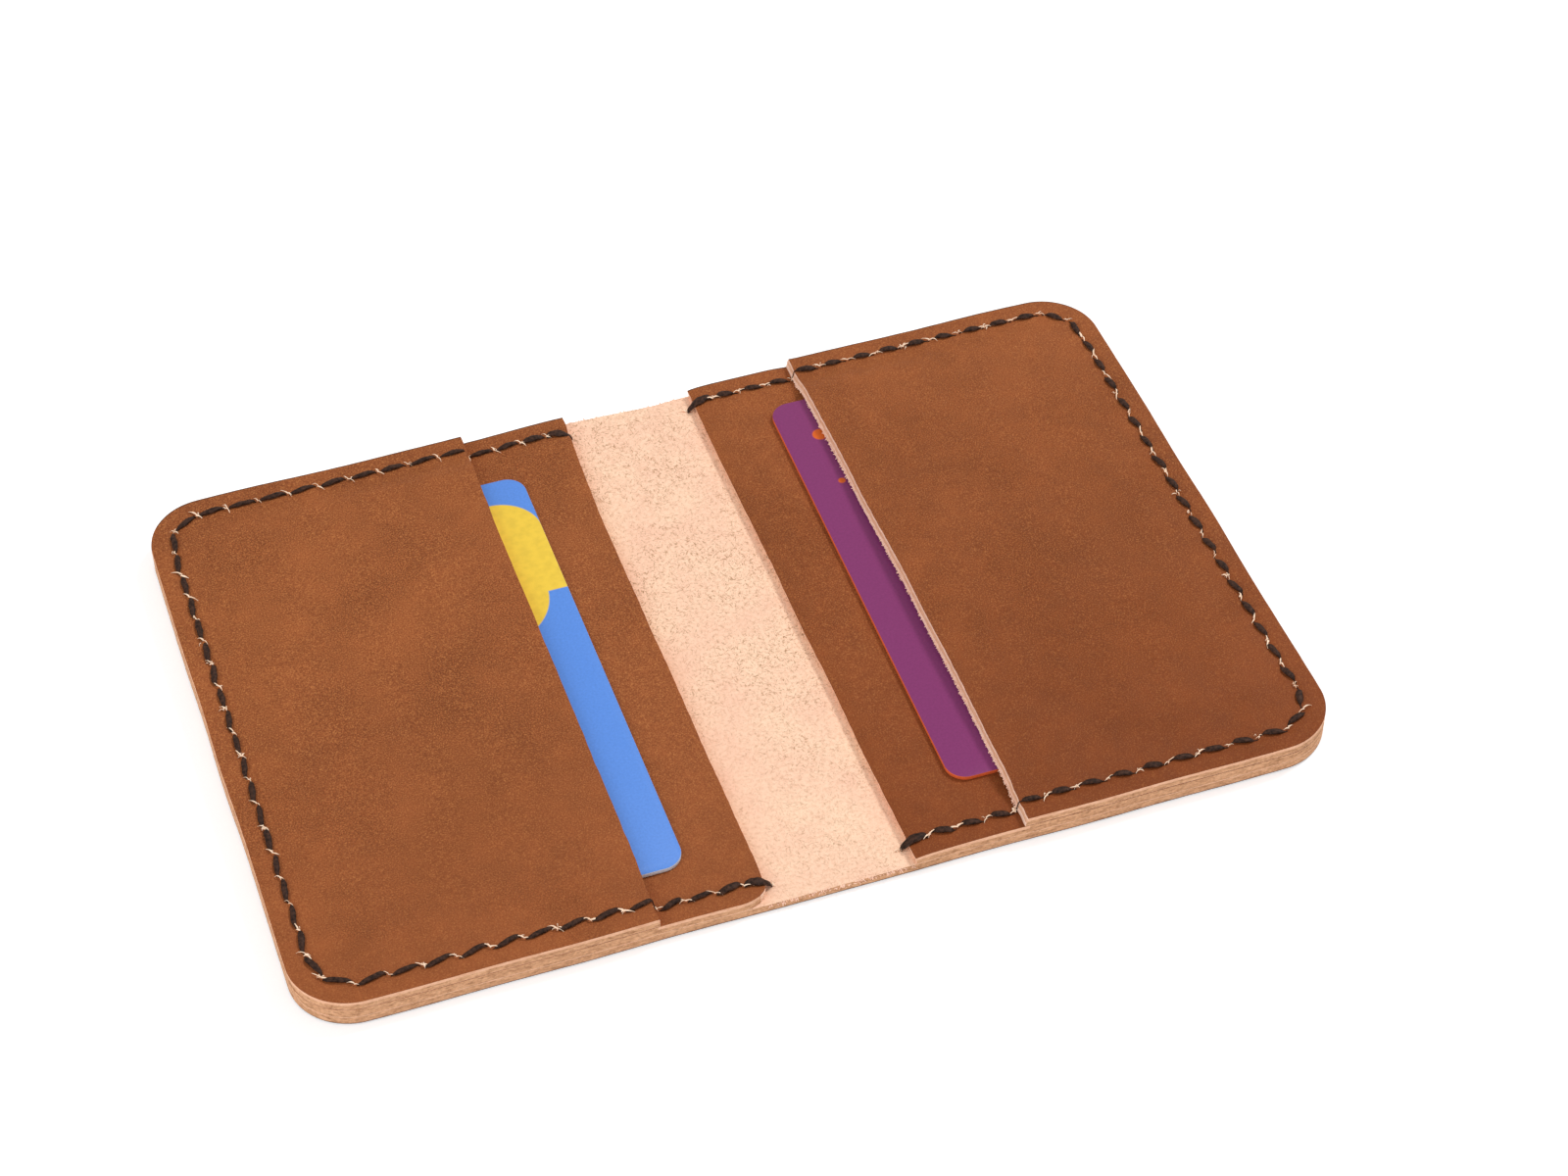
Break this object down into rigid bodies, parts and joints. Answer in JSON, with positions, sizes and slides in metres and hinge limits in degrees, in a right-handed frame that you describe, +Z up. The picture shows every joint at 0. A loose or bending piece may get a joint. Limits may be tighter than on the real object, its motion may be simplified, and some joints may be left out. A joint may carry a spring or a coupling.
{
  "type": "card holder",
  "caption": "Hand-sewn bifold leather card holder lying open, with stacked card pockets on both halves, a bare leather fold between them and a bank-type card in each front pocket.",
  "frame": {"origin": "centre of the fold, on the underside that the open holder lies on", "axes": "+X from the fold to the right half, +Y along the fold, +Z up out of the open inside"},
  "size_m": [0.1614, 0.106, 0.0061],
  "materials": {
    "leather": "brown vegetable-tanned grain, satin, with pale tan raw edges and flesh side",
    "thread": "dark brown waxed",
    "blue_card": "smooth printed",
    "purple_card": "smooth printed"
  },
  "bodies": {
    "left_half": {"shell_left": "leather", "back_pocket_left": "leather", "front_pocket_left": "leather", "stitching_left": "thread"},
    "spine": {"shell_spine": "leather"},
    "right_half": {"shell_right": "leather", "back_pocket_right": "leather", "front_pocket_right": "leather", "stitching_right": "thread"},
    "left_card": {"card_left": "blue_card"},
    "right_card": {"card_right": "purple_card"}
  },
  "joints": [
    {"name": "fold_left", "type": "hinge", "parent": "left_half", "child": "spine", "pos_m": [-0.0045, 0, 0.0021], "axis": [0, -1, 0], "range_deg": [0, 90]},
    {"name": "fold_right", "type": "hinge", "parent": "spine", "child": "right_half", "pos_m": [0.0045, 0, 0.0021], "axis": [0, -1, 0], "range_deg": [0, 90]},
    {"name": "left_card_slide", "type": "slide", "parent": "left_half", "child": "left_card", "axis": [1, 0, 0], "range_m": [-0.0015, 0.016]},
    {"name": "right_card_slide", "type": "slide", "parent": "right_half", "child": "right_card", "axis": [-1, 0, 0], "range_m": [0, 0.016]}
  ],
  "couplings": [
    {"joint": "fold_right", "follows": "fold_left", "ratio": 1}
  ]
}
